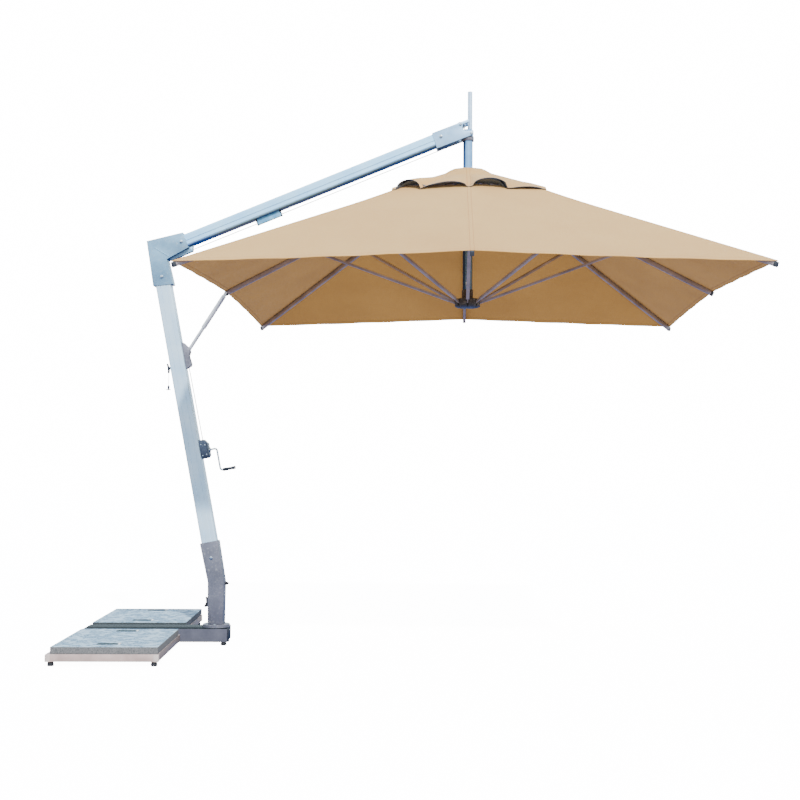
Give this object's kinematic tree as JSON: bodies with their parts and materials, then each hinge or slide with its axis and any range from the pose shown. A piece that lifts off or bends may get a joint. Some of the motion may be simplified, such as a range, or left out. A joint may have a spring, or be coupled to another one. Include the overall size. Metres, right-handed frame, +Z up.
{
  "type": "cantilever parasol",
  "caption": "Square garden parasol hung from a leaning side mast and rising arm, with a vented canopy, winch, stay and a slab-weighted base.",
  "frame": {"origin": "on the ground, at the middle of the whole object's plan", "axes": "+X from the base towards the canopy, in the plane of the mast and arm; +Y to the rear; +Z up"},
  "size_m": [3.8922, 3.0032, 3.405],
  "materials": {
    "anodised_tube": "satin anodised silver-blue extrusion",
    "cast_bracket": "fine matt grey powder coat on a casting",
    "steel": "zinc plated",
    "base_paint": "matt powder coat",
    "dark_plastic": "fine texture",
    "blue_plastic": "smooth",
    "rubber": "matt",
    "rope": "braided",
    "granite": null,
    "fabric": "woven polyester",
    "pole_finish": "satin anodised"
  },
  "bodies": {
    "base": {"base_beam": "base_paint", "tray_front": "base_paint", "tray_rear": "base_paint", "slab_front": "granite", "slab_rear": "granite", "turn_flange": "cast_bracket", "foot_front_left": "rubber", "foot_front_right": "rubber", "foot_rear_left": "rubber", "foot_rear_right": "rubber", "foot_beam_front": "rubber", "foot_beam_rear": "rubber"},
    "mast": {"mast_foot": "cast_bracket", "mast_tube": "anodised_tube", "arm_tube": "anodised_tube", "elbow_bracket": "cast_bracket", "foot_bolt": "steel", "elbow_bolt_arm": "steel", "elbow_bolt_mast": "steel", "tip_bracket": "anodised_tube", "tip_bolt": "steel", "pole_tube": "pole_finish", "crown_hub": "cast_bracket", "canopy": "fabric", "vent_cap": "fabric", "rope_arm": "rope", "rope_mast": "rope", "rope_guide": "blue_plastic", "winch_housing": "dark_plastic", "stay_bracket": "cast_bracket", "cord_cleat": "dark_plastic", "pull_cord": "rope", "cord_toggle": "dark_plastic"},
    "lock_pedal": {"lock_pedal": "dark_plastic"},
    "tension_knob": {"tension_knob": "dark_plastic"},
    "crank": {"crank_handle": "steel", "winch_drum": "steel"},
    "crank_grip": {"crank_grip": "dark_plastic"},
    "runner": {"lift_tube": "pole_finish", "lower_hub": "cast_bracket"},
    "tip_pulley": {"tip_pulley": "steel"},
    "mast_pulley": {"mast_pulley": "steel"},
    "stay_rod": {"stay_rod": "anodised_tube"},
    "stay_sleeve": {"stay_sleeve": "anodised_tube"},
    "rib_right": {"rib_right": "anodised_tube"},
    "strut_right": {"strut_right": "anodised_tube"},
    "rib_far_right": {"rib_far_right": "anodised_tube"},
    "strut_far_right": {"strut_far_right": "anodised_tube"},
    "rib_far": {"rib_far": "anodised_tube"},
    "strut_far": {"strut_far": "anodised_tube"},
    "rib_far_left": {"rib_far_left": "anodised_tube"},
    "strut_far_left": {"strut_far_left": "anodised_tube"},
    "rib_left": {"rib_left": "anodised_tube"},
    "strut_left": {"strut_left": "anodised_tube"},
    "rib_near_left": {"rib_near_left": "anodised_tube"},
    "strut_near_left": {"strut_near_left": "anodised_tube"},
    "rib_near": {"rib_near": "anodised_tube"},
    "strut_near": {"strut_near": "anodised_tube"},
    "rib_near_right": {"rib_near_right": "anodised_tube"},
    "strut_near_right": {"strut_near_right": "anodised_tube"}
  },
  "joints": [
    {"name": "mast_turn", "type": "hinge", "parent": "base", "child": "mast", "pos_m": [-1.0807, 0, 0.121], "axis": [0, 0, 1], "continuous": true},
    {"name": "canopy_lift", "type": "slide", "parent": "mast", "child": "runner", "axis": [0, 0, -1], "range_m": [0, 1.13], "deforming": ["canopy", "vent_cap"]},
    {"name": "rib_fold_right", "type": "hinge", "parent": "mast", "child": "rib_right", "pos_m": [0.5053, 0, 2.885], "axis": [0, 1, 0], "range_deg": [0, 49.97]},
    {"name": "strut_fold_right", "type": "hinge", "parent": "rib_right", "child": "strut_right", "pos_m": [1.4123, 0, 2.4182], "axis": [0, -1, 0], "range_deg": [0, 106.78]},
    {"name": "rib_fold_far_right", "type": "hinge", "parent": "mast", "child": "rib_far_right", "pos_m": [0.48773, 0.04243, 2.885], "axis": [-0.7071, 0.7071, 0], "range_deg": [0, 55.67]},
    {"name": "strut_fold_far_right", "type": "hinge", "parent": "rib_far_right", "child": "strut_far_right", "pos_m": [1.12907, 0.68377, 2.53415], "axis": [0.7071, -0.7071, 0], "range_deg": [0, 107.09]},
    {"name": "rib_fold_far", "type": "hinge", "parent": "mast", "child": "rib_far", "pos_m": [0.4453, 0.06, 2.885], "axis": [-1, 0, 0], "range_deg": [0, 49.97]},
    {"name": "strut_fold_far", "type": "hinge", "parent": "rib_far", "child": "strut_far", "pos_m": [0.4453, 0.967, 2.4182], "axis": [1, 0, 0], "range_deg": [0, 106.78]},
    {"name": "rib_fold_far_left", "type": "hinge", "parent": "mast", "child": "rib_far_left", "pos_m": [0.40287, 0.04243, 2.885], "axis": [-0.7071, -0.7071, 0], "range_deg": [0, 55.67]},
    {"name": "strut_fold_far_left", "type": "hinge", "parent": "rib_far_left", "child": "strut_far_left", "pos_m": [-0.23847, 0.68377, 2.53415], "axis": [0.7071, 0.7071, 0], "range_deg": [0, 107.09]},
    {"name": "rib_fold_left", "type": "hinge", "parent": "mast", "child": "rib_left", "pos_m": [0.3853, 0, 2.885], "axis": [0, -1, 0], "range_deg": [0, 49.97]},
    {"name": "strut_fold_left", "type": "hinge", "parent": "rib_left", "child": "strut_left", "pos_m": [-0.5217, 0, 2.4182], "axis": [0, 1, 0], "range_deg": [0, 106.78]},
    {"name": "rib_fold_near_left", "type": "hinge", "parent": "mast", "child": "rib_near_left", "pos_m": [0.40287, -0.04243, 2.885], "axis": [0.7071, -0.7071, 0], "range_deg": [0, 55.67]},
    {"name": "strut_fold_near_left", "type": "hinge", "parent": "rib_near_left", "child": "strut_near_left", "pos_m": [-0.23847, -0.68377, 2.53415], "axis": [-0.7071, 0.7071, 0], "range_deg": [0, 107.09]},
    {"name": "rib_fold_near", "type": "hinge", "parent": "mast", "child": "rib_near", "pos_m": [0.4453, -0.06, 2.885], "axis": [1, 0, 0], "range_deg": [0, 49.97]},
    {"name": "strut_fold_near", "type": "hinge", "parent": "rib_near", "child": "strut_near", "pos_m": [0.4453, -0.967, 2.4182], "axis": [-1, 0, 0], "range_deg": [0, 106.78]},
    {"name": "rib_fold_near_right", "type": "hinge", "parent": "mast", "child": "rib_near_right", "pos_m": [0.48773, -0.04243, 2.885], "axis": [0.7071, 0.7071, 0], "range_deg": [0, 55.67]},
    {"name": "strut_fold_near_right", "type": "hinge", "parent": "rib_near_right", "child": "strut_near_right", "pos_m": [1.12907, -0.68377, 2.53415], "axis": [-0.7071, -0.7071, 0], "range_deg": [0, 107.09]},
    {"name": "crank_turn", "type": "hinge", "parent": "mast", "child": "crank", "pos_m": [-1.14482, 0, 1.18048], "axis": [0.9818, 0, 0.1901], "range_deg": [0, 2756.1]},
    {"name": "crank_grip_spin", "type": "hinge", "parent": "crank", "child": "crank_grip", "pos_m": [-1.02079, 0, 1.06598], "axis": [0.9818, 0, 0.1901], "continuous": true},
    {"name": "tip_pulley_turn", "type": "hinge", "parent": "mast", "child": "tip_pulley", "pos_m": [0.3998, 0, 3.1905], "axis": [0, 1, 0], "range_deg": [0, 2643.6]},
    {"name": "mast_pulley_turn", "type": "hinge", "parent": "mast", "child": "mast_pulley", "pos_m": [-1.27445, 0, 1.71152], "axis": [0, -1, 0], "range_deg": [0, 5396.4]},
    {"name": "stay_swing", "type": "hinge", "parent": "mast", "child": "stay_rod", "pos_m": [-1.27453, 0, 1.79503], "axis": [0, 1, 0], "range_deg": [0, 104]},
    {"name": "stay_slide", "type": "slide", "parent": "stay_rod", "child": "stay_sleeve", "axis": [0.5364, 0, 0.8439], "range_m": [-0.12, 0]},
    {"name": "lock_pedal_press", "type": "hinge", "parent": "mast", "child": "lock_pedal", "pos_m": [-1.1385, 0, 0.232], "axis": [0, -1, 0], "range_deg": [0, 15]},
    {"name": "tension_knob_spin", "type": "hinge", "parent": "mast", "child": "tension_knob", "pos_m": [-1.0307, 0, 0.366], "axis": [1, 0, 0], "continuous": true}
  ],
  "couplings": [
    {"joint": "rib_fold_right", "follows": "canopy_lift", "rad_per_m": 0.77149},
    {"joint": "strut_fold_right", "follows": "canopy_lift", "rad_per_m": 1.649},
    {"joint": "rib_fold_far_right", "follows": "canopy_lift", "rad_per_m": 0.85954},
    {"joint": "strut_fold_far_right", "follows": "canopy_lift", "rad_per_m": 1.6538},
    {"joint": "rib_fold_far", "follows": "canopy_lift", "rad_per_m": 0.77149},
    {"joint": "strut_fold_far", "follows": "canopy_lift", "rad_per_m": 1.649},
    {"joint": "rib_fold_far_left", "follows": "canopy_lift", "rad_per_m": 0.85954},
    {"joint": "strut_fold_far_left", "follows": "canopy_lift", "rad_per_m": 1.6538},
    {"joint": "rib_fold_left", "follows": "canopy_lift", "rad_per_m": 0.77149},
    {"joint": "strut_fold_left", "follows": "canopy_lift", "rad_per_m": 1.649},
    {"joint": "rib_fold_near_left", "follows": "canopy_lift", "rad_per_m": 0.85954},
    {"joint": "strut_fold_near_left", "follows": "canopy_lift", "rad_per_m": 1.6538},
    {"joint": "rib_fold_near", "follows": "canopy_lift", "rad_per_m": 0.77149},
    {"joint": "strut_fold_near", "follows": "canopy_lift", "rad_per_m": 1.649},
    {"joint": "rib_fold_near_right", "follows": "canopy_lift", "rad_per_m": 0.85954},
    {"joint": "strut_fold_near_right", "follows": "canopy_lift", "rad_per_m": 1.6538},
    {"joint": "crank_turn", "follows": "canopy_lift", "rad_per_m": 42.553},
    {"joint": "tip_pulley_turn", "follows": "canopy_lift", "rad_per_m": 40.816},
    {"joint": "mast_pulley_turn", "follows": "canopy_lift", "rad_per_m": 83.333}
  ]
}
